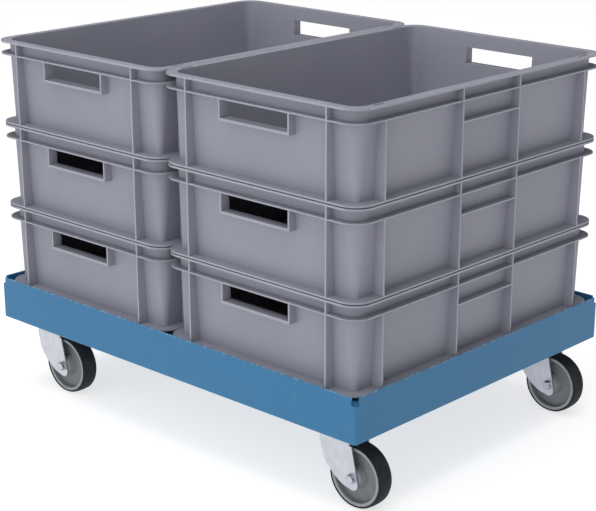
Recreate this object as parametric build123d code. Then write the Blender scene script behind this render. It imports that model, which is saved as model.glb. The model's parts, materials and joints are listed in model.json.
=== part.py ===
from build123d import *
from math import cos, radians, sin
import os

# A low tray dolly on four swivel casters, with two stacks of three stacking containers in its tray.
# Millimetres. X runs along the long side, Y along the short side, Z up from the floor.
# The origin is on the floor under the middle of the tray. The front is the -Y side.

# Tray
trayLength = 812.0
trayWidth = 612.0
skirtBottom = 125.0
trayTop = 197.0
sheet = 2.0
cornerRadius = 5.0
foldRadius = 1.8
mitreOver = 5.0
mitreReach = 40.0
deckTop = 185.0
lowerFlange = 12.0
deckLedge = 10.0
notchLength = 8.5
deckGap = 0.5

# Cross members and corner brackets under the deck
crossMemberSpacing = 200.0
crossMemberWidth = 50.0
crossMemberHeight = 24.0
bracketPlate = 4.0
bracketReachX = 70.0
bracketReachY = 60.0
bracketRib = 3.0
bracketRibOffset = 41.0

# Casters
swivelX = 332.5
swivelY = 249.0
trail = 35.0
wheelRadius = 50.0
wheelWidth = 30.0
plateLength = 105.0
plateWidth = 80.0
plateThickness = 3.0
plateCorner = 8.0
plateSlotX = 80.0
plateSlotY = 60.0
plateSlot = 13.0
raceLip = 3.0
raceClearance = 0.4
raceGap = 0.8
boltDiameter = 8.0
boltClearance = 0.5
boltHex = 13.0
boltHead = 5.3
nutHeight = 6.5
threadOver = 2.5
washerThickness = 1.5
washerRadius = 8.0
forkSheet = 2.5
forkWidth = 41.0
forkBend = 5.0
crownTop = 118.5
crownRadius = 34.0
crownDepth = 18.5
raceRadius = 21.0
ballDiameter = 5.0
ballCount = 16
kingpinDiameter = 10.0
kingpinHex = 17.0
kingpinNut = 7.0
cupRadius = 14.0
cupThickness = 2.5
pinOver = 2.0
pinClearance = 0.15
sleeveDiameter = 12.0
runningGap = 0.05
seatGap = 0.2

# Container, measured from the underside of its base flange
crateX = 399.0
crateY = 599.0
crateSpacing = 401.0
cratePitch = 140.0
crateRimTop = 138.5
crateCorner = 32.0
rimThickness = 3.5
flangeThickness = 3.0
edgeRadius = 0.8
bandTop = 117.7
bandThickness = 2.4
wall = 3.0
wallInsetTop = 12.0
wallInsetBottom = 19.5
wallCornerTop = 26.0
wallCornerBottom = 8.0
footDepth = 5.0
footClearance = 1.5
floorThickness = 3.5
seatDepth = 1.5
seatInset = 6.0
ribThickness = 3.0
ribRecess = 0.3
endRibX = 140.4
cornerRibY = 241.0
middleRibY = 68.6
labelRibZ = 85.0
labelRibThickness = 2.4
handleHalf = 69.2
handleLipBottom = 84.0
handleLipTop = 88.0
rimSlotX = 190.0
rimSlotY = 247.0
rimSlotLength = 24.0
rimSlotWidth = 4.0
rimSlotDepth = 1.5

mountPlane = skirtBottom + sheet
crateBase = deckTop + footDepth
cornerNames = {
    (-1, -1): "front_left",
    (1, -1): "front_right",
    (-1, 1): "rear_left",
    (1, 1): "rear_right",
}


def save(name, shape):
    shape.label = name
    export_step(shape, f"parts/{name}.step")


def roundedPlate(length, width, radius, bottom, top):
    outline = RectangleRounded(length, width, radius)
    return Pos(0, 0, bottom) * extrude(outline, top - bottom)


def ring(outer, inner, bottom, top):
    tube = Cylinder(outer, top - bottom) - Cylinder(inner, top - bottom + 2)
    return Pos(0, 0, (bottom + top) / 2) * tube


def alongY(shape):
    """Lays a shape built about Z down along Y, with its top towards -Y."""
    return Rot(90, 0, 0) * shape


def hexPrism(acrossFlats, height):
    return extrude(RegularPolygon(acrossFlats / 2, 6, major_radius=False), height)


# Tray

def trayRing():
    """The folded sheet rim: a web with an inward flange below and a ledge for the deck."""
    innerLength = trayLength - 2 * sheet
    innerWidth = trayWidth - 2 * sheet
    innerRadius = cornerRadius - sheet

    def innerCut(reach, bottom, top):
        return roundedPlate(innerLength - 2 * reach, innerWidth - 2 * reach, innerRadius, bottom, top)

    ledgeTop = deckTop - sheet
    ledgeBottom = ledgeTop - sheet
    rim = roundedPlate(trayLength, trayWidth, cornerRadius, skirtBottom, trayTop)
    rim = fillet(rim.edges().group_by(Axis.Z)[0], foldRadius)
    rim -= innerCut(lowerFlange, skirtBottom - 1, mountPlane + 1)
    rim -= innerCut(0, mountPlane, ledgeBottom)
    rim -= innerCut(deckLedge, ledgeBottom - 1, ledgeTop + 1)
    rim -= innerCut(0, ledgeTop, trayTop + 1)
    notch = Box(2 * notchLength, 2 * notchLength, 2 * (trayTop - deckTop))
    for x in (-trayLength / 2, trayLength / 2):
        for y in (-trayWidth / 2, trayWidth / 2):
            rim -= Pos(x, y, trayTop) * notch
    return rim


def mitreWedge(length, width):
    """The region that one rail keeps of the rim: cut back at 45 degrees at both ends."""
    halfLength = length / 2
    near = -width / 2
    corners = [
        (-halfLength - mitreOver, near - mitreOver),
        (halfLength + mitreOver, near - mitreOver),
        (halfLength - mitreReach, near + mitreReach),
        (-halfLength + mitreReach, near + mitreReach),
    ]
    wedge = extrude(make_face(Polyline(*corners, close=True)), trayTop - skirtBottom + 2)
    return Pos(0, 0, skirtBottom - 1) * wedge


def crossMember():
    """An open channel welded under the deck, from the front ledge to the rear ledge."""
    length = trayWidth - 2 * (sheet + deckLedge) - 2 * deckGap
    top = deckTop - sheet
    outer = Box(crossMemberWidth, length, crossMemberHeight)
    inner = Box(crossMemberWidth - 2 * sheet, length + 2, crossMemberHeight)
    channel = outer - Pos(0, 0, -sheet) * inner
    return Pos(0, 0, top - crossMemberHeight / 2) * channel


def platePattern():
    return [(x * plateSlotX / 2, y * plateSlotY / 2) for x in (-1, 1) for y in (-1, 1)]


def deckOutline(bottom, top):
    length = trayLength - 2 * (sheet + deckGap)
    width = trayWidth - 2 * (sheet + deckGap)
    return roundedPlate(length, width, cornerRadius - sheet, bottom, top)


def cornerBracket(sideX, sideY):
    """The plate that a caster is bolted to, with two upright ribs that reach the deck."""
    plateTop = mountPlane + bracketPlate
    innerX = swivelX - bracketReachX
    innerY = swivelY - bracketReachY
    region = Box(trayLength, trayWidth, bracketPlate, align=Align.MIN)
    bracket = deckOutline(mountPlane, plateTop) & (Pos(innerX, innerY, mountPlane) * region)
    ribTop = deckTop - sheet
    ribLength = trayLength / 2 - (sheet + deckLedge + deckGap) - innerX
    rib = Box(ribLength, bracketRib, ribTop - plateTop)
    for offset in (-bracketRibOffset, bracketRibOffset):
        bracket += Pos(innerX + ribLength / 2, swivelY + offset, (ribTop + plateTop) / 2) * rib
    hole = Cylinder((boltDiameter + boltClearance) / 2, 2 * bracketPlate)
    for x, y in platePattern():
        bracket -= Pos(swivelX + x, swivelY + y, mountPlane + bracketPlate / 2) * hole
    if sideX < 0:
        bracket = bracket.mirror(Plane.YZ)
    if sideY < 0:
        bracket = bracket.mirror(Plane.XZ)
    return bracket


# Caster, about its swivel axis

def casterPlate():
    """Top plate with four slots, and below it the upper race of the swivel bearing."""
    bottom = mountPlane - plateThickness
    plate = roundedPlate(plateLength, plateWidth, plateCorner, bottom, mountPlane)
    slot = extrude(SlotOverall(plateSlot, boltDiameter + boltClearance), plateThickness + 2)
    for x, y in platePattern():
        plate -= Pos(x, y, bottom - 1) * slot
    raceHalf = ballDiameter / 2 + raceClearance
    raceBottom = crownTop + raceGap
    plate += ring(raceRadius + raceHalf + raceLip, raceRadius + raceHalf, raceBottom, bottom)
    plate += ring(raceRadius - raceHalf, kingpinDiameter / 2, raceBottom, bottom)
    return plate - Cylinder(kingpinDiameter / 2, 3 * mountPlane)


def swivelBalls():
    """One ring of balls between the upper race and the crown of the fork."""
    centreZ = (crownTop + mountPlane - plateThickness) / 2
    angles = [radians(360 * k / ballCount) for k in range(ballCount)]
    ball = Sphere(ballDiameter / 2)
    return [Pos(raceRadius * cos(a), raceRadius * sin(a), centreZ) * ball for a in angles]


def kingpin():
    """The pin that holds the fork up to the plate, with its lower cup and nut."""
    cupTop = crownTop - forkSheet - seatGap
    cupBottom = cupTop - cupThickness
    pinBottom = cupBottom - kingpinNut - pinOver
    radius = kingpinDiameter / 2
    pin = Pos(0, 0, (mountPlane + pinBottom) / 2) * Cylinder(radius, mountPlane - pinBottom)
    pin += ring(cupRadius, radius, cupBottom, cupTop)
    pin += Pos(0, 0, cupBottom - kingpinNut) * hexPrism(kingpinHex, kingpinNut)
    return pin


def forkSide():
    """Side view of a fork leg, x along the trail: straight leading edge, swept back edge."""
    axle = (trail, wheelRadius)
    with BuildSketch(Plane.XZ) as side:
        with BuildLine():
            Polyline((-32, crownTop), (-30, 103), (-22.4, 74.5))
            Spline((-22.4, 74.5), (-7, 52.5), (15.6, 37), (31, 32.8),
                   tangents=((9, -25), (15, -2)))
            ThreePointArc((31, 32.8), (43.6, 34.4), (46.8, 42))
            Polyline((46.8, 42), (42.5, 62), (39, 77), (33, 103), (32, crownTop), (-32, crownTop))
        make_face()
        with Locations(axle):
            Circle(boltDiameter / 2 + 0.1, mode=Mode.SUBTRACT)
    return side.sketch


def fork():
    """A pressed fork: an inverted channel, trimmed to the leg outline and to a round crown."""
    outer = RectangleRounded(forkWidth, 2 * crownTop, forkBend)
    inner = RectangleRounded(
        forkWidth - 2 * forkSheet, 2 * (crownTop - forkSheet), forkBend - forkSheet
    )
    channel = extrude(Plane.YZ * (outer - inner), 2 * trail, both=True)
    body = channel & extrude(forkSide(), forkWidth, both=True)
    crown = Cylinder(crownRadius, 2 * crownDepth)
    legs = Pos(0, 0, (crownTop - crownDepth) / 2) * Box(200, 100, crownTop - crownDepth)
    body = body & ((Pos(0, 0, crownTop) * crown) + legs)
    return body - Pos(0, 0, crownTop) * Cylinder(kingpinDiameter / 2 + pinClearance, 2 * crownDepth)


def axleStation(y):
    """A place on the wheel axis, y measured from the wheel's middle plane."""
    return Pos(trail, y, wheelRadius)


def axleBolt():
    """Hexagon bolt along Y, its head on the -Y side."""
    headPlane = forkWidth / 2 + washerThickness
    threadEnd = headPlane + nutHeight + threadOver
    shank = alongY(Cylinder(boltDiameter / 2, headPlane + threadEnd))
    bolt = axleStation((threadEnd - headPlane) / 2) * shank
    return bolt + axleStation(-headPlane) * alongY(hexPrism(boltHex, boltHead))


def axleNut():
    nut = hexPrism(boltHex, nutHeight) - Cylinder(boltDiameter / 2, 4 * nutHeight)
    return axleStation(forkWidth / 2 + washerThickness + nutHeight) * alongY(nut)


def axleWashers():
    disc = Cylinder(washerRadius, washerThickness) - Cylinder(boltDiameter / 2, 3 * washerThickness)
    offset = (forkWidth + washerThickness) / 2
    return [axleStation(side * offset) * alongY(disc) for side in (-1, 1)]


def axleSleeve():
    length = forkWidth - 2 * forkSheet
    tube = Cylinder(sleeveDiameter / 2, length) - Cylinder(boltDiameter / 2, length + 2)
    return axleStation(0) * alongY(tube)


def wheelProfile(points):
    """Revolves a closed (radius, width) outline, given for one half, about the wheel axis."""
    mirrored = [(r, -w) for r, w in reversed(points)]
    with BuildSketch(Plane.XZ) as section:
        with BuildLine():
            Polyline(*points, *mirrored, close=True)
        make_face()
    return axleStation(0) * alongY(revolve(section.sketch, Axis.Z))


def wheelCore():
    """Moulded wheel: hub, thin web and a rim that carries the tyre."""
    bore = sleeveDiameter / 2 + runningGap
    points = [
        (bore, 17.4), (14.5, 17.4), (17.5, 7), (19, 5),
        (39, 5), (41, 13.5), (46, 13.5), (46, 9), (44.5, 9),
    ]
    return wheelProfile(points)


def tyre():
    half = wheelWidth / 2
    crown = 0.7
    points = [
        (44.5, 9), (46, 9), (46, 13.5), (46.6, half - 0.6), (47.4, half),
        (wheelRadius - 2.2, half - 1.4), (wheelRadius - crown, half - 3.6), (wheelRadius, 4),
    ]
    return wheelProfile(points)


def casterPlace(sideX, sideY):
    return Pos(sideX * swivelX, sideY * swivelY, 0)


def mountingBolts():
    """Sixteen hexagon bolts from above, through bracket and caster plate."""
    gripTop = mountPlane + bracketPlate
    threadEnd = mountPlane - plateThickness - nutHeight - threadOver
    shank = Pos(0, 0, (gripTop + threadEnd) / 2) * Cylinder(boltDiameter / 2, gripTop - threadEnd)
    bolt = shank + Pos(0, 0, gripTop) * hexPrism(boltHex, boltHead)
    places = [casterPlace(*sides) for sides in cornerNames]
    return [place * Pos(x, y, 0) * bolt for place in places for x, y in platePattern()]


def mountingNuts():
    nut = hexPrism(boltHex, nutHeight) - Cylinder(boltDiameter / 2, 4 * nutHeight)
    bottom = mountPlane - plateThickness - nutHeight
    places = [casterPlace(*sides) for sides in cornerNames]
    return [place * Pos(x, y, bottom) * nut for place in places for x, y in platePattern()]


# Container, about the middle of the underside of its base flange

def wallOutline(z, shell):
    """The outline of the walls at a height, shell being how far inside the outer face it runs."""
    share = z / crateRimTop
    inset = wallInsetBottom + (wallInsetTop - wallInsetBottom) * share + shell
    corner = wallCornerBottom + (wallCornerTop - wallCornerBottom) * share - shell
    return Pos(0, 0, z) * RectangleRounded(crateX - 2 * inset, crateY - 2 * inset, corner)


def taperedBlock(shell, bottom, top):
    """A block with the container's draft, its corners rounder towards the top."""
    return loft([wallOutline(bottom, shell), wallOutline(top, shell)])


def flange(bottom, top):
    """One flange all round the container, its outer edge rounded above and below."""
    plate = roundedPlate(crateX, crateY, crateCorner, bottom, top)
    edges = plate.edges().filter_by(Plane.XY)
    return fillet(edges, edgeRadius)


def crate():
    """An open container: tapered walls, three outline flanges, ribs, two handle slots, a foot."""
    body = taperedBlock(0, 0, crateRimTop)
    body += flange(0, flangeThickness)
    body += flange(bandTop - bandThickness, bandTop)
    body += flange(crateRimTop - rimThickness, crateRimTop)
    seatX = crateX - 2 * seatInset
    seatY = crateY - 2 * seatInset
    body += roundedPlate(seatX, seatY, crateCorner - seatInset, -seatDepth, 0)
    footInset = wallInsetTop + wall + footClearance
    footX = crateX - 2 * footInset
    footY = crateY - 2 * footInset
    body += roundedPlate(footX, footY, wallCornerTop - wall, -footDepth, 0)

    ribBottom = flangeThickness / 2
    rimMiddle = crateRimTop - rimThickness / 2
    bandMiddle = bandTop - bandThickness / 2
    ribSpanX = crateX - 2 * ribRecess
    ribSpanY = crateY - 2 * ribRecess

    def uprightRib(x, y, length, width, top):
        rib = Box(length, width, top - ribBottom)
        return Pos(x, y, (top + ribBottom) / 2) * rib

    for side in (-1, 1):
        body += uprightRib(side * endRibX, 0, ribThickness, ribSpanY, rimMiddle)
        body += uprightRib(0, side * middleRibY, ribSpanX, ribThickness, rimMiddle)
        body += uprightRib(0, side * cornerRibY, ribSpanX, ribThickness, bandMiddle)
    body += Pos(0, 0, labelRibZ) * Box(ribSpanX, 2 * middleRibY, labelRibThickness)

    frameHeight = bandMiddle - handleLipBottom
    frame = Box(2 * handleHalf + ribThickness, ribSpanY, frameHeight)
    body += Pos(0, 0, handleLipBottom + frameHeight / 2) * frame
    slotHeight = bandTop - bandThickness - handleLipTop
    slot = Box(2 * handleHalf - ribThickness, crateY + 2, slotHeight)
    body -= Pos(0, 0, handleLipTop + slotHeight / 2) * slot

    floorTop = floorThickness - footDepth
    body -= taperedBlock(wall, floorTop, crateRimTop)
    marker = extrude(SlotOverall(rimSlotLength, rimSlotWidth, rotation=90), 2 * rimSlotDepth)
    for x in (-rimSlotX, rimSlotX):
        for y in (-rimSlotY, rimSlotY):
            body -= Pos(x, y, crateRimTop - rimSlotDepth) * marker
    return body


# Every piece is written under its own name

os.makedirs("parts", exist_ok=True)

rim = trayRing()
longWedge = mitreWedge(trayLength, trayWidth)
shortWedge = mitreWedge(trayWidth, trayLength)
railTurns = {
    "front_rail": (longWedge, 0),
    "rear_rail": (longWedge, 180),
    "right_rail": (shortWedge, 90),
    "left_rail": (shortWedge, 270),
}
for name, (wedge, turn) in railTurns.items():
    save(name, rim & (Rot(0, 0, turn) * wedge))

save("deck_plate", deckOutline(deckTop - sheet, deckTop))
for name, x in (("left", -1), ("middle", 0), ("right", 1)):
    save(f"cross_member_{name}", Pos(x * crossMemberSpacing, 0, 0) * crossMember())

casterPieces = {
    "caster_plate": casterPlate(),
    "kingpin": kingpin(),
    "fork": fork(),
    "axle_bolt": axleBolt(),
    "axle_nut": axleNut(),
    "axle_washers": Compound(axleWashers()),
    "axle_sleeve": axleSleeve(),
    "wheel_core": wheelCore(),
    "tyre": tyre(),
}
balls = swivelBalls()
allBalls = []
for sides, corner in cornerNames.items():
    place = casterPlace(*sides)
    save(f"corner_bracket_{corner}", cornerBracket(*sides))
    for piece, shape in casterPieces.items():
        save(f"{piece}_{corner}", place * shape)
    allBalls += [place * ball for ball in balls]
save("swivel_balls", Compound(allBalls))
save("mounting_bolts", Compound(mountingBolts()))
save("mounting_nuts", Compound(mountingNuts()))

container = crate()
for stack, x in (("left", -0.5), ("right", 0.5)):
    for level, name in enumerate(("bottom", "middle", "top")):
        height = crateBase + level * cratePitch
        save(f"crate_{stack}_{name}", Pos(x * crateSpacing, 0, height) * container)
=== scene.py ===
import json
import math
import bpy
import bmesh
from mathutils import Matrix, Vector

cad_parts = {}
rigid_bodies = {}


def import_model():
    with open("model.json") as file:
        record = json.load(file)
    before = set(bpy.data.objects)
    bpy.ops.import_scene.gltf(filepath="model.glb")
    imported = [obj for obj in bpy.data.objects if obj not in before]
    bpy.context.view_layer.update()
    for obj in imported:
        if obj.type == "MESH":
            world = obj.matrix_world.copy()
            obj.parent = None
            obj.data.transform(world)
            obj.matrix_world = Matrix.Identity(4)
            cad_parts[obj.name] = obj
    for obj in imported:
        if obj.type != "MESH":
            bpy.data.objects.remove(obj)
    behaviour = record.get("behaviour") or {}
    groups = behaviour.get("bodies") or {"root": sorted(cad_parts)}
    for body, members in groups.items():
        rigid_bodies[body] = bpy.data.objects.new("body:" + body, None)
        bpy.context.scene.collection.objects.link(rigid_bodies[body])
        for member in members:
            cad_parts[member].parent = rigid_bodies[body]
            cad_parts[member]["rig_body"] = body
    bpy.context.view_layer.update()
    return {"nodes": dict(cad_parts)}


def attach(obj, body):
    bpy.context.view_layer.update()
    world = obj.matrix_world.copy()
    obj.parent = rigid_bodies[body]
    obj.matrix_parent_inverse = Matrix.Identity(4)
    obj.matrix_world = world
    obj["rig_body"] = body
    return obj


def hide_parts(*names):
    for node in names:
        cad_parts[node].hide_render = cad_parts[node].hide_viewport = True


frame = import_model()
nodes = frame["nodes"]
corners = {"front_left": (-1, -1), "front_right": (1, -1), "rear_left": (-1, 1), "rear_right": (1, 1)}
print("frame loaded:", len(nodes), "nodes")


# Node maths: a Wire is one output socket, and an expression on Wires adds its Math nodes
class Wire:
    def __init__(self, maker, socket):
        self.maker = maker
        self.socket = socket

    def __add__(self, other): return self.maker.maths("ADD", self, other)
    def __radd__(self, other): return self.maker.maths("ADD", other, self)
    def __sub__(self, other): return self.maker.maths("SUBTRACT", self, other)
    def __rsub__(self, other): return self.maker.maths("SUBTRACT", other, self)
    def __mul__(self, other): return self.maker.maths("MULTIPLY", self, other)
    def __rmul__(self, other): return self.maker.maths("MULTIPLY", other, self)
    def __truediv__(self, other): return self.maker.maths("DIVIDE", self, other)
    def __rtruediv__(self, other): return self.maker.maths("DIVIDE", other, self)
    def __gt__(self, other): return self.maker.maths("GREATER_THAN", self, other)
    def __mod__(self, other): return self.maker.maths("FLOORED_MODULO", self, other)
    def __pow__(self, other): return self.maker.maths("POWER", self, other)
    def __neg__(self): return self.maker.maths("MULTIPLY", self, -1.0)
    def __abs__(self): return self.maker.maths("ABSOLUTE", self)
    def sine(self): return self.maker.maths("SINE", self)
    def highest(self, other): return self.maker.maths("MAXIMUM", self, other)

    # 0 below low, 1 above high, smooth between
    def ramp(self, low, high):
        sockets = {"Value": self, "From Min": low, "From Max": high}
        node = self.maker.add("ShaderNodeMapRange", {"interpolation_type": "SMOOTHSTEP"}, sockets)
        return Wire(self.maker, node.outputs[0])


# Every node of every tree comes from add: its type, its settings, then the values or links of its sockets
class NodeMaker:
    def add(self, kind, settings=None, sockets=None):
        node = self.tree.nodes.new(kind)
        for key, value in (settings or {}).items():
            setattr(node, key, value)
        for key, value in (sockets or {}).items():
            self.put(node.inputs[key], value)
        return node

    def put(self, socket, value):
        if isinstance(value, Wire):
            value = value.socket
        if isinstance(value, bpy.types.NodeSocket):
            self.tree.links.new(value, socket)
        elif isinstance(value, (tuple, list)) and len(value) == 3 and socket.type == "RGBA":
            socket.default_value = (*value, 1.0)
        else:
            socket.default_value = value

    def maths(self, operation, *values):
        node = self.add("ShaderNodeMath", {"operation": operation}, dict(enumerate(values)))
        return Wire(self, node.outputs[0])


# A material with a slot name kept beside it, on Object coordinates
class Finish(NodeMaker):
    def __init__(self, name, slot, **fixed):
        self.material = bpy.data.materials.new(name)
        self.material.use_nodes = True
        self.slot = slot
        self.tree = self.material.node_tree
        self.tree.nodes.clear()
        self.shader = self.add("ShaderNodeBsdfPrincipled", {}, fixed)
        self.add("ShaderNodeOutputMaterial", {}, {"Surface": self.shader.outputs[0]})
        self.place = self.add("ShaderNodeTexCoord").outputs["Object"]

    def axes(self):
        split = self.add("ShaderNodeSeparateXYZ", {}, {0: self.place})
        return [Wire(self, out) for out in split.outputs]

    def stretched(self, scale):
        return self.add("ShaderNodeMapping", {}, {"Vector": self.place, "Scale": scale}).outputs[0]

    def noise(self, scale, detail=3.0, rough=0.5, vector=None):
        sockets = {"Vector": vector or self.place, "Scale": scale, "Detail": detail, "Roughness": rough}
        return Wire(self, self.add("ShaderNodeTexNoise", {}, sockets).outputs["Fac"])

    def spots(self, scale, vector=None):
        sockets = {"Vector": vector or self.place, "Scale": scale}
        return Wire(self, self.add("ShaderNodeTexVoronoi", {}, sockets).outputs["Distance"])

    def mix(self, factor, first, second):
        node = self.add("ShaderNodeMix", {"data_type": "RGBA"}, {0: factor, 6: first, 7: second})
        return node.outputs[2]

    def bump(self, height, distance, strength=1.0):
        sockets = {"Height": height, "Distance": distance, "Strength": strength}
        return self.add("ShaderNodeBump", {}, sockets).outputs[0]

    def feed(self, **sockets):
        for key, value in sockets.items():
            self.put(self.shader.inputs[key.replace("_", " ")], value)


# Container plastic: matt grey with a fine moulded grain; rim and band edges lightened in patches (painted
# highlight mixed with scuffs), and the outermost faces given a painted highlight all over plus some scuffs
crateLook = {
    "grey": (0.250, 0.254, 0.303),
    "shade": (0.224, 0.229, 0.276),
    # colour of the scuffs and also of the painted edge highlight
    "scuffAndHighlight": (0.44, 0.45, 0.50),
    "grain": 1400.0,
    "grainDepth": 0.00006,
    "base": 0.190,
    "pitch": 0.140,
    "rim": (0.1372, 0.1384),  # heights of the rim and the band above the base
    "band": (0.1166, 0.1176, 0.1178, 0.1186),
    "stackX": 0.2005,
    "outerX": (0.1987, 0.1991),
    "outerY": (0.2987, 0.2991),
}


def crateFinish():
    plastic = Finish("containerPlastic", "crate_plastic", **{"IOR": 1.46, "Specular IOR Level": 0.4})
    x, y, z = plastic.axes()
    cloud = plastic.noise(5.0, 4.0)
    flow = plastic.noise(3.0, 5.0, 0.6, plastic.stretched((1, 1, 7)))
    colour = plastic.mix(cloud.ramp(0.35, 0.65) * 0.6 + flow * 0.4, crateLook["grey"], crateLook["shade"])
    height = (z - crateLook["base"]) % crateLook["pitch"]
    bandStart, bandFull, bandFade, bandEnd = crateLook["band"]
    band = height.ramp(bandStart, bandFull) * (1 - height.ramp(bandFade, bandEnd))
    # painted highlight mixed with scuffs: thin lines at the rim and band heights, lightened in noisy
    # patches
    edge = height.ramp(*crateLook["rim"]) + band
    rub = plastic.noise(160.0, 4.0).ramp(0.52, 0.70) * plastic.noise(14.0, 2.0).ramp(0.40, 0.62)
    colour = plastic.mix(edge * rub * 0.45, colour, crateLook["scuffAndHighlight"])
    # painted highlight: the outermost faces (rim, flange and rib sides) are lightened all over, a little
    # more in the scuffed patches
    sideFace = abs(abs(x) - crateLook["stackX"]).ramp(*crateLook["outerX"])
    outerHighlightAndScuff = abs(y).ramp(*crateLook["outerY"]).highest(sideFace)
    colour = plastic.mix(outerHighlightAndScuff * (0.22 + rub * 0.15), colour, crateLook["scuffAndHighlight"])
    grain = plastic.noise(crateLook["grain"], 2.0)
    plastic.feed(
        Base_Color=colour,
        Roughness=0.46 + plastic.noise(40.0, 3.0) * 0.14,
        Normal=plastic.bump(grain, crateLook["grainDepth"], 0.5),
    )
    return plastic


# Powder coat of the tray: satin blue with orange peel, rubbed lighter along the cut edges
trayLook = {
    "blue": (0.026, 0.144, 0.290),
    "deep": (0.022, 0.131, 0.268),
    "worn": (0.30, 0.42, 0.52),
    "dust": (0.45, 0.47, 0.48),
    "peel": 420.0,
    "top": 0.197,
    "bottom": 0.125,
}


def trayFinish():
    coat = {"Coat Weight": 0.06, "Coat Roughness": 0.25, "Coat IOR": 1.45}
    fixed = {**coat, "IOR": 1.5, "Specular IOR Level": 0.25}
    paint = Finish("trayPowderCoat", "tray_paint", **fixed)
    x, y, z = paint.axes()
    colour = paint.mix(paint.noise(6.0, 4.0), trayLook["blue"], trayLook["deep"])
    top = z.ramp(trayLook["top"] - 0.0012, trayLook["top"] - 0.0002)
    bottom = 1 - z.ramp(trayLook["bottom"] + 0.0001, trayLook["bottom"] + 0.0009)
    chips = paint.noise(240.0, 5.0).ramp(0.45, 0.62)
    colour = paint.mix((top * 0.8 + bottom * 0.35) * chips, colour, trayLook["worn"])
    dust = paint.noise(30.0, 6.0, 0.7).ramp(0.55, 0.8)
    colour = paint.mix(dust * 0.05, colour, trayLook["dust"])
    peel = paint.noise(trayLook["peel"], 2.0)
    paint.feed(
        Base_Color=colour,
        Roughness=0.40 + dust * 0.15,
        Normal=paint.bump(peel, 0.00012, 0.35),
    )
    return paint


# Zinc plate: pressed caster steel and its fasteners
zincLook = {
    "bright": (0.64, 0.65, 0.69),
    "dull": (0.57, 0.58, 0.62),
    "spangle": 70.0,
    "casterTint": (0.88, 0.89, 0.91),
    "fastenerTint": (0.80, 0.80, 0.82),
}


def zincFinish(name, slot, tint, rough):
    zinc = Finish(name, slot, **{"Metallic": 1.0})
    cloud = zinc.noise(55.0, 5.0, 0.65)
    spangle = zinc.spots(zincLook["spangle"])
    shade = (cloud * 0.6 + spangle * 0.5).ramp(0.25, 0.75)
    dull = tuple(a * b for a, b in zip(zincLook["dull"], tint))
    bright = tuple(a * b for a, b in zip(zincLook["bright"], tint))
    scratch = zinc.noise(500.0, 2.0, 0.5, zinc.stretched((1, 1, 0.06)))
    zinc.feed(
        Base_Color=zinc.mix(shade, bright, dull),
        Roughness=rough + cloud * 0.16,
        Normal=zinc.bump(scratch + cloud * 0.5, 0.00004, 0.35),
    )
    return zinc


# Wheels: grey moulded centre with turned rings, dark grey rubber tyre
wheelLook = {
    "grey": (0.148, 0.160, 0.170),
    "pale": (0.265, 0.280, 0.294),
    "rubber": (0.0125, 0.0138, 0.0158),
    "dust": (0.038, 0.039, 0.041),
    "axleRight": 0.3675,
    "axleLeft": -0.2975,
    "axleHeight": 0.05,
}


# distance from the wheel's own axle, the same for all four wheels
def wheelRadius(finish):
    x, y, z = finish.axes()
    middle = (x > 0.0) * (wheelLook["axleRight"] - wheelLook["axleLeft"]) + wheelLook["axleLeft"]
    across = x - middle
    up = z - wheelLook["axleHeight"]
    return (across * across + up * up) ** 0.5


def wheelFinish():
    plastic = Finish("wheelPlastic", "wheel_plastic", **{"IOR": 1.46})
    radius = wheelRadius(plastic)
    rings = (radius * 2600.0).sine()
    cloud = plastic.noise(60.0, 4.0)
    rimBand = radius.ramp(0.0405, 0.0415)
    hubBand = 1 - radius.ramp(0.0165, 0.0180)
    colour = plastic.mix(rimBand * 0.85 + hubBand * 0.35, wheelLook["grey"], wheelLook["pale"])
    colour = plastic.mix(cloud.ramp(0.5, 0.8) * 0.25, colour, wheelLook["dust"])
    plastic.feed(
        Base_Color=colour,
        Roughness=0.42 + cloud * 0.2,
        Normal=plastic.bump(rings * 0.3 + plastic.noise(900.0), 0.00005, 0.4),
    )
    return plastic


def tyreFinish():
    rubber = Finish("tyreRubber", "tyre_rubber", **{"IOR": 1.5, "Specular IOR Level": 0.2})
    radius = wheelRadius(rubber)
    tread = radius.ramp(0.0488, 0.0498)
    grime = rubber.noise(45.0, 6.0, 0.7)
    pores = rubber.noise(1100.0, 2.0)
    dusty = grime.ramp(0.4, 0.75) * (0.25 + tread * 0.35)
    rubber.feed(
        Base_Color=rubber.mix(dusty, wheelLook["rubber"], wheelLook["dust"]),
        Roughness=0.62 + grime * 0.25,
        Normal=rubber.bump(pores + grime * 0.6, 0.00012, 0.5),
    )
    return rubber


finishes = {
    "crate": crateFinish(),
    "tray": trayFinish(),
    "caster": zincFinish("casterZinc", "caster_steel", zincLook["casterTint"], 0.30),
    "fastener": zincFinish("fastenerZinc", "fastener_zinc", zincLook["fastenerTint"], 0.16),
    "wheel": wheelFinish(),
    "tyre": tyreFinish(),
}
print("finishes made:", len(finishes))


def finishOf(name):
    if name.startswith("crate_"):
        return finishes["crate"]
    if name.startswith(("caster_plate", "fork")):
        return finishes["caster"]
    if name.startswith("wheel_core"):
        return finishes["wheel"]
    if name.startswith("tyre"):
        return finishes["tyre"]
    if name.startswith(("kingpin", "axle", "swivel_balls", "mounting")):
        return finishes["fastener"]
    return finishes["tray"]


def paint(piece, finish):
    piece.data.materials.clear()
    piece.data.materials.append(finish.material)


for name, node in nodes.items():
    paint(node, finishOf(name))


# A clean copy of a CAD piece: joined, its flat faces whole, its hard edges rounded a little
softEdges = {
    "crate_": (0.0006, 2),
    "corner_bracket": (0.0005, 1),
    "cross_member": (0.0006, 2),
    "caster_plate": (0.0005, 2),
    "fork": (0.0005, 2),
    "wheel_core": (0.0006, 3),
    "tyre": (0.0003, 2),
    "kingpin": (0.0003, 2),
    "axle_washers": (0.0002, 2),
}


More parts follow.
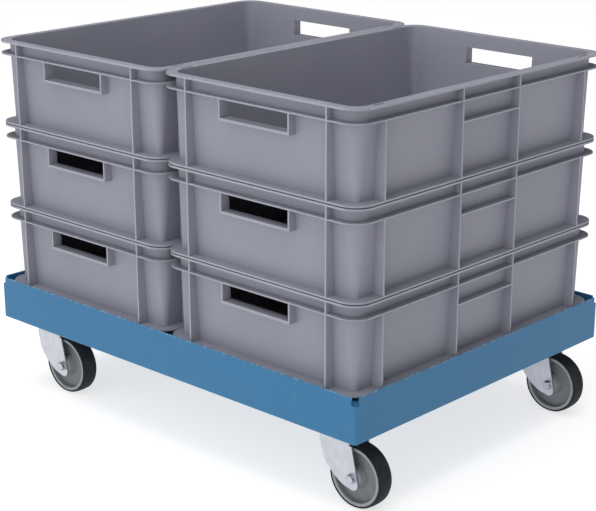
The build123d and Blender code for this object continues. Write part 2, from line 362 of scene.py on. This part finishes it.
def standsFor(piece, name):
    finish = finishOf(name)
    if not piece.data.materials:
        paint(piece, finish)
    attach(piece, nodes[name]["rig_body"])
    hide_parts(name)


def newPiece(name, mesh):
    piece = bpy.data.objects.new(name, mesh)
    bpy.context.scene.collection.objects.link(piece)
    return piece


def flatNormals(piece):
    weighted = piece.modifiers.new("flatFaces", "WEIGHTED_NORMAL")
    weighted.keep_sharp = True


def softened(name, width, segments):
    mesh = nodes[name].data.copy()
    mesh.materials.clear()
    shape = bmesh.new()
    shape.from_mesh(mesh)
    bmesh.ops.remove_doubles(shape, verts=shape.verts, dist=2e-6)
    bmesh.ops.dissolve_limit(shape, angle_limit=math.radians(0.6), verts=shape.verts, edges=shape.edges)
    shape.to_mesh(mesh)
    shape.free()
    mesh.shade_smooth()
    mesh.set_sharp_from_angle(angle=math.radians(32))
    piece = newPiece(f"{name}_finished", mesh)
    bevel = piece.modifiers.new("edges", "BEVEL")
    bevel.width = width
    bevel.segments = segments
    bevel.limit_method = "ANGLE"
    bevel.angle_limit = math.radians(50)
    bevel.miter_outer = "MITER_ARC"
    flatNormals(piece)
    standsFor(piece, name)


for name in sorted(nodes):
    for start, (width, segments) in softEdges.items():
        if name.startswith(start):
            softened(name, width, segments)
print("pieces softened")


# The folded sheet rim of the tray: one section carried along each side and round half of both corners
rimLook = {
    "length": 0.812,
    "width": 0.612,
    "corner": 0.005,
    "sheet": 0.002,
    "fold": 0.0018,
    "bottom": 0.125,
    "top": 0.197,
    "notchFloor": 0.185,
    "notch": 0.0085,
    "flange": 0.014,
    "ledge": 0.012,
    "ledgeTop": 0.183,
    "edge": 0.0003,
    "cornerSteps": 8,
}


def rimSection(top):
    k = rimLook
    fold, low, sheet, edge = k["fold"], k["bottom"], k["sheet"], k["edge"]
    bend = [math.radians(90 * step / 5) for step in range(6)]
    section = [(fold - fold * math.sin(a), low + fold - fold * math.cos(a)) for a in bend]
    section += [(0, top - edge), (edge, top), (sheet - edge, top), (sheet, top - edge)]
    ledge, ledgeTop, flange = k["ledge"], k["ledgeTop"], k["flange"]
    section += [(sheet, ledgeTop), (ledge, ledgeTop), (ledge, ledgeTop - sheet), (sheet, ledgeTop - sheet)]
    return section + [(sheet, low + sheet), (flange, low + sheet), (flange, low)]


def rimRail(name, length, width, turn):
    k = rimLook
    halfLength, halfWidth = length / 2, width / 2
    steps = k["cornerSteps"]
    notchEnd = halfLength - k["notch"]
    stations = [(-1, 45 + 45 * step / steps, None, k["notchFloor"]) for step in range(steps + 1)]
    stations += [(-1, 90, notchEnd, k["notchFloor"]), (-1, 90, notchEnd - 2e-5, k["top"])]
    stations += [(-side, angle, reach, top) for side, angle, reach, top in reversed(stations)]
    shape = bmesh.new()
    rings = []
    for side, angle, reach, top in stations:
        around = math.radians(angle)
        ring = []
        for inward, z in rimSection(top):
            radius = k["corner"] if inward < k["sheet"] / 2 else k["corner"] - k["sheet"]
            x = halfLength - inward - radius + radius * math.cos(around) if reach is None else reach
            y = halfWidth - inward - radius + radius * math.sin(around)
            ring.append(shape.verts.new((side * x, -y, z)))
        rings.append(ring)
    count = len(rings[0])
    for first, second in zip(rings, rings[1:]):
        for i in range(count):
            j = (i + 1) % count
            shape.faces.new((first[i], second[i], second[j], first[j]))
    shape.faces.new(list(reversed(rings[0])))
    shape.faces.new(rings[-1])
    bmesh.ops.rotate(shape, verts=shape.verts, cent=(0, 0, 0), matrix=Matrix.Rotation(turn, 3, "Z"))
    bmesh.ops.recalc_face_normals(shape, faces=shape.faces)
    mesh = bpy.data.meshes.new(f"{name}_folded")
    shape.to_mesh(mesh)
    shape.free()
    mesh.shade_smooth()
    mesh.set_sharp_from_angle(angle=math.radians(40))
    piece = newPiece(f"{name}_folded", mesh)
    flatNormals(piece)
    standsFor(piece, name)


rimRail("front_rail", rimLook["length"], rimLook["width"], 0)
rimRail("rear_rail", rimLook["length"], rimLook["width"], math.pi)
rimRail("right_rail", rimLook["width"], rimLook["length"], math.pi / 2)
rimRail("left_rail", rimLook["width"], rimLook["length"], -math.pi / 2)
print("tray rim folded")


# A geometry tree with named inputs, which ends in real meshes with their finish
class Grower(NodeMaker):
    def __init__(self, name, inputs):
        self.tree = bpy.data.node_groups.new(name, "GeometryNodeTree")
        face = self.tree.interface
        face.new_socket("Geometry", in_out="INPUT", socket_type="NodeSocketGeometry")
        kinds = {tuple: "NodeSocketVector", int: "NodeSocketInt", float: "NodeSocketFloat"}
        for title, value in inputs.items():
            kind = kinds[type(value)]
            face.new_socket(title, in_out="INPUT", socket_type=kind).default_value = value
        face.new_socket("Finish", in_out="INPUT", socket_type="NodeSocketMaterial")
        face.new_socket("Geometry", in_out="OUTPUT", socket_type="NodeSocketGeometry")
        self.given = self.add("NodeGroupInput")

    def of(self, title):
        return Wire(self, self.given.outputs[title])

    def upTo(self, height):
        return self.add("ShaderNodeCombineXYZ", {}, {"Z": height}).outputs[0]

    def moved(self, geometry, height):
        sockets = {"Geometry": geometry, "Translation": self.upTo(height)}
        return self.add("GeometryNodeTransform", {}, sockets).outputs[0]

    def joined(self, parts):
        node = self.add("GeometryNodeJoinGeometry")
        for part in parts:
            self.tree.links.new(part, node.inputs[0])
        return node.outputs[0]

    # a closed form with one radius at each height, drawn up from a filled ring
    def turned(self, sides, profile):
        (radius, height), *rest = profile
        sockets = {"Vertices": sides, "Radius": radius}
        ring = self.add("GeometryNodeMeshCircle", {"fill_type": "NGON"}, sockets)
        foot = self.moved(ring.outputs[0], height)
        mesh, face = foot, True
        for nextRadius, nextHeight in rest:
            rise = self.upTo(nextHeight - height)
            sockets = {"Mesh": mesh, "Selection": face, "Offset": rise, "Individual": False}
            drawn = self.add("GeometryNodeExtrudeMesh", {"mode": "FACES"}, sockets)
            face = drawn.outputs["Top"]
            sockets = {"Geometry": drawn.outputs["Mesh"], "Selection": face, "Scale": nextRadius / radius}
            mesh = self.add("GeometryNodeScaleElements", {"domain": "FACE"}, sockets).outputs[0]
            radius, height = nextRadius, nextHeight
        back = self.add("GeometryNodeFlipFaces", {}, {"Mesh": foot}).outputs[0]
        sockets = {"Geometry": self.joined([mesh, back]), "Distance": 1e-6}
        return self.add("GeometryNodeMergeByDistance", {}, sockets).outputs[0]

    def hexagon(self, radius, height, bevel):
        narrow = radius * 0.93
        return self.turned(6, [(narrow, 0.0), (radius, bevel), (radius, height - bevel), (narrow, height)])

    def onPoints(self, instance, turn):
        sockets = {"Points": self.given.outputs["Geometry"], "Instance": instance, "Rotation": turn}
        return self.add("GeometryNodeInstanceOnPoints", {}, sockets).outputs[0]

    def end(self, geometry):
        solid = self.add("GeometryNodeRealizeInstances", {}, {0: geometry}).outputs[0]
        shaded = self.add("GeometryNodeSetShadeSmooth", {}, {"Geometry": solid}).outputs[0]
        done = self.add("GeometryNodeSetMaterial", {}, {"Geometry": shaded, "Material": self.of("Finish")})
        self.add("NodeGroupOutput", {}, {0: done.outputs[0]})


# Runs a tree on points and edges, and keeps the mesh that it gives
def grown(name, grower, points, values, finish, edges=()):
    start = bpy.data.meshes.new(name + "_start")
    start.from_pydata(points, list(edges), [])
    seed = newPiece(name + "_seed", start)
    modifier = seed.modifiers.new("grow", "NODES")
    modifier.node_group = grower.tree
    sockets = grower.tree.interface.items_tree
    named = {item.name: item.identifier for item in sockets if item.in_out == "INPUT"}
    for title, value in {**values, "Finish": finish.material}.items():
        modifier[named[title]] = value
    state = bpy.context.evaluated_depsgraph_get()
    mesh = bpy.data.meshes.new_from_object(seed.evaluated_get(state), depsgraph=state)
    bpy.data.objects.remove(seed)
    mesh.set_sharp_from_angle(angle=math.radians(35))
    return newPiece(name, mesh)


# Hexagon bolts: chamfered head, shank, and a thread ridge that runs round its end
boltLook = {
    "Head radius": 0.00751,
    "Head height": 0.0053,
    "Shank radius": 0.0040,
    "Shank length": 0.0190,
    "Thread length": 0.0060,
    "Pitch": 0.00125,
    "Turn": (0.0, 0.0, 0.0),
}


def boltGrower():
    made = Grower("hexagonBolt", boltLook)
    shank, length = made.of("Shank radius"), made.of("Shank length")
    thread = made.of("Thread length")
    head = made.hexagon(made.of("Head radius"), made.of("Head height"), 0.0004)
    root = shank * 0.93
    body = made.turned(24, [(shank * 0.8, -length), (root, -length + 0.0008), (root, 0.0005)])
    spiral = made.add("GeometryNodeCurveSpiral", {}, {
        "Resolution": 14, "Rotations": thread / made.of("Pitch"),
        "Start Radius": root, "End Radius": root, "Height": thread - 0.001,
    }).outputs[0]
    ridge = made.add("GeometryNodeCurvePrimitiveCircle", {}, {"Resolution": 4, "Radius": 0.0003}).outputs[0]
    sockets = {"Curve": spiral, "Profile Curve": ridge, "Fill Caps": True}
    swept = made.add("GeometryNodeCurveToMesh", {}, sockets).outputs[0]
    coil = made.moved(swept, -length + 0.0007)
    made.end(made.onPoints(made.joined([head, body, coil]), made.of("Turn")))
    return made


# Hexagon nuts, chamfered above and below
nutLook = {"Radius": 0.00751, "Height": 0.0065, "Turn": (0.0, 0.0, 0.0)}


def nutGrower():
    made = Grower("hexagonNut", nutLook)
    made.end(made.onPoints(made.hexagon(made.of("Radius"), made.of("Height"), 0.0005), made.of("Turn")))
    return made


# One ring of balls for each swivel
ballLook = {"Ball radius": 0.0025, "Ring radius": 0.021, "Balls": 16}


def ballGrower():
    made = Grower("ballRing", ballLook)
    sockets = {"Vertices": made.of("Balls"), "Radius": made.of("Ring radius")}
    circle = made.add("GeometryNodeMeshCircle", {}, sockets).outputs[0]
    sockets = {"Segments": 16, "Rings": 10, "Radius": made.of("Ball radius")}
    ball = made.add("GeometryNodeMeshUVSphere", {}, sockets).outputs[0]
    ring = made.add("GeometryNodeInstanceOnPoints", {}, {"Points": circle, "Instance": ball}).outputs[0]
    made.end(made.onPoints(ring, (0.0, 0.0, 0.0)))
    return made


# Weld beads: rippled fillets along the joints under the deck
weldLook = {"Bead radius": 0.0019, "Ripple": 0.00035, "Spacing": 0.0011, "Flicker": 0.0012}


def weldGrower():
    made = Grower("weldBead", weldLook)
    line = made.add("GeometryNodeMeshToCurve", {}, {0: made.given.outputs["Geometry"]}).outputs[0]
    sockets = {"Curve": line, "Length": made.of("Spacing")}
    fine = made.add("GeometryNodeResampleCurve", {"mode": "LENGTH"}, sockets).outputs[0]
    index = Wire(made, made.add("GeometryNodeInputIndex").outputs[0])
    flicker = Wire(made, made.add("ShaderNodeTexNoise", {}, {"Scale": 90.0, "Detail": 1.0}).outputs[0])
    ripple = made.of("Ripple") * (index * 1.3).sine()
    radius = made.of("Bead radius") + ripple + (flicker - 0.5) * made.of("Flicker")
    ring = made.add("GeometryNodeCurvePrimitiveCircle", {}, {"Resolution": 8, "Radius": 1.0}).outputs[0]
    sockets = {"Curve": fine, "Profile Curve": ring, "Scale": radius, "Fill Caps": True}
    bead = made.add("GeometryNodeCurveToMesh", {}, sockets).outputs[0]
    made.end(bead)
    return made


# Where the fasteners sit on each caster
casterPlaces = {
    "swivelX": 0.3325,
    "swivelY": 0.249,
    "trail": 0.035,
    "axleHeight": 0.050,
    "holeX": 0.040,
    "holeY": 0.030,
    "headSeat": 0.131,
    "nutSeat": 0.1175,
    "ballHeight": 0.12125,
    "washerFace": 0.022,
    "boltSizes": {"Shank length": 0.0160, "Thread length": 0.0035},
    "axleSizes": {"Shank length": 0.0530, "Thread length": 0.0035},
}
places = casterPlaces
swivels = {
    corner: (sideX * places["swivelX"], sideY * places["swivelY"])
    for corner, (sideX, sideY) in corners.items()
}
plateHoles = [(sideX * places["holeX"], sideY * places["holeY"]) for sideX in (-1, 1) for sideY in (-1, 1)]
boltPoints = [(a + x, b + y, places["headSeat"]) for a, b in swivels.values() for x, y in plateHoles]
nutPoints = [(x, y, places["nutSeat"]) for x, y, z in boltPoints]
ballPoints = [(a, b, places["ballHeight"]) for a, b in swivels.values()]
boltTree, nutTree, ballTree, weldTree = boltGrower(), nutGrower(), ballGrower(), weldGrower()
zinc = finishes["fastener"]
standsFor(grown("mountingBolts_grown", boltTree, boltPoints, places["boltSizes"], zinc), "mounting_bolts")
standsFor(grown("mountingNuts_grown", nutTree, nutPoints, {}, zinc), "mounting_nuts")
standsFor(grown("swivelBalls_grown", ballTree, ballPoints, {}, zinc), "swivel_balls")
outward, inward = (math.pi / 2, 0.0, 0.0), (-math.pi / 2, 0.0, 0.0)
for corner, (a, b) in swivels.items():
    axleX, height, face = a + places["trail"], places["axleHeight"], places["washerFace"]
    sizes = {**places["axleSizes"], "Turn": outward}
    bolt = grown(f"axleBolt_{corner}_grown", boltTree, [(axleX, b - face, height)], sizes, zinc)
    standsFor(bolt, f"axle_bolt_{corner}")
    nut = grown(f"axleNut_{corner}_grown", nutTree, [(axleX, b + face, height)], {"Turn": inward}, zinc)
    standsFor(nut, f"axle_nut_{corner}")
print("fasteners and balls grown")


weldPlaces = {
    "channels": (-0.225, -0.175, -0.025, 0.025, 0.175, 0.225),
    "rightFaces": (-0.175, 0.025, 0.225),
    "faceOffset": 0.0004,
    "channelHeight": 0.1826,
    "runSpacing": 0.052,
    "halfRun": 0.012,
    "runsEachWay": 5,
    "ribs": (0.208, 0.290),
    "ribOffset": 0.0017,
    "ribFrom": 0.268,
    "ribTo": 0.390,
    "ribHeight": 0.1313,
}


def weldRuns():
    k = weldPlaces
    runs = []
    for x in k["channels"]:
        x += k["faceOffset"] if x in k["rightFaces"] else -k["faceOffset"]
        for step in range(-k["runsEachWay"], k["runsEachWay"] + 1):
            y, z = step * k["runSpacing"], k["channelHeight"]
            runs.append(((x, y - k["halfRun"], z), (x, y + k["halfRun"], z)))
    for sideX, sideY in corners.values():
        for rib in k["ribs"]:
            for offset in (-k["ribOffset"], k["ribOffset"]):
                y, z = sideY * rib + offset, k["ribHeight"]
                runs.append(((sideX * k["ribFrom"], y, z), (sideX * k["ribTo"], y, z)))
    return runs


runs = weldRuns()
points = [point for run in runs for point in run]
edges = [(2 * i, 2 * i + 1) for i in range(len(runs))]
welds = grown("weldBeads", weldTree, points, {}, finishes["tray"], edges)
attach(welds, "frame")
print("welds run")


# Floor, light and camera
studio = {
    "floor": (0.50, 0.50, 0.50),
    "floorGlow": 0.67,
    "floorReach": 30.0,
    "ambient": 0.05,
    "horizon": 0.85,
    "front": 1.75,
    "top": 0.70,
    "softbox": 78.0,
    "camera": (1.79655, -1.90010, 1.07725),
    "azimuth": 41.973,
    "elevation": 18.343,
    "roll": 0.330,
    "lens": 98.114,
    "shift": (-0.0596, 0.0392),
}


def lamp(name, place, target, size, power):
    light = bpy.data.lights.new(name, "AREA")
    light.shape = "RECTANGLE"
    light.size, light.size_y = size
    light.energy = power
    piece = bpy.data.objects.new(name, light)
    bpy.context.scene.collection.objects.link(piece)
    piece.location = place
    piece.rotation_euler = (Vector(target) - Vector(place)).to_track_quat("-Z", "Y").to_euler()


floorMesh = bpy.data.meshes.new("studioFloor")
reach = studio["floorReach"]
floorCorners = [(-reach, -reach, 0), (reach, -reach, 0), (reach, reach, 0), (-reach, reach, 0)]
floorMesh.from_pydata(floorCorners, [], [(0, 1, 2, 3)])
floorPiece = bpy.data.objects.new("studioFloor", floorMesh)
bpy.context.scene.collection.objects.link(floorPiece)
floorFinish = Finish("studioFloorPaint", None, **{
    "Base Color": (*studio["floor"], 1.0), "Roughness": 0.9,
    "Emission Color": (1, 1, 1, 1), "Emission Strength": studio["floorGlow"],
})
floorMesh.materials.append(floorFinish.material)


# A soft studio sky: brightest in front and overhead, pale along the horizon
class Sky(Finish):
    def __init__(self, name):
        self.material = bpy.data.worlds.new(name)
        self.material.use_nodes = True
        self.tree = self.material.node_tree
        self.tree.nodes.clear()
        self.shader = self.add("ShaderNodeBackground")
        self.add("ShaderNodeOutputWorld", {}, {"Surface": self.shader.outputs[0]})
        self.place = self.add("ShaderNodeTexCoord").outputs["Generated"]


sky = Sky("studioSky")
skyX, skyY, skyZ = sky.axes()
glow = studio["ambient"] + (skyX * 0.22 - skyY * 0.975).ramp(0.15, 0.97) * studio["front"]
glow = glow + skyZ.ramp(0.55, 0.98) * studio["top"] + (1 - skyZ.ramp(0.15, 0.30)) * studio["horizon"]
sky.feed(Strength=glow)
bpy.context.scene.world = sky.material
bpy.context.scene.view_settings.view_transform = "Standard"

lamp("overheadSoftbox", (-0.1, -0.5, 3.6), (0, 0, 0), (2.6, 2.6), studio["softbox"])

cameraData = bpy.data.cameras.new("studioCamera")
cameraData.sensor_width = 36.0
cameraData.lens = studio["lens"]
cameraData.shift_x, cameraData.shift_y = studio["shift"]
camera = bpy.data.objects.new("studioCamera", cameraData)
bpy.context.scene.collection.objects.link(camera)
camera.matrix_world = (
    Matrix.Translation(studio["camera"])
    @ Matrix.Rotation(math.radians(studio["azimuth"]), 4, "Z")
    @ Matrix.Rotation(math.radians(90 - studio["elevation"]), 4, "X")
    @ Matrix.Rotation(math.radians(studio["roll"]), 4, "Z")
)
bpy.context.scene.camera = camera
print("studio ready")
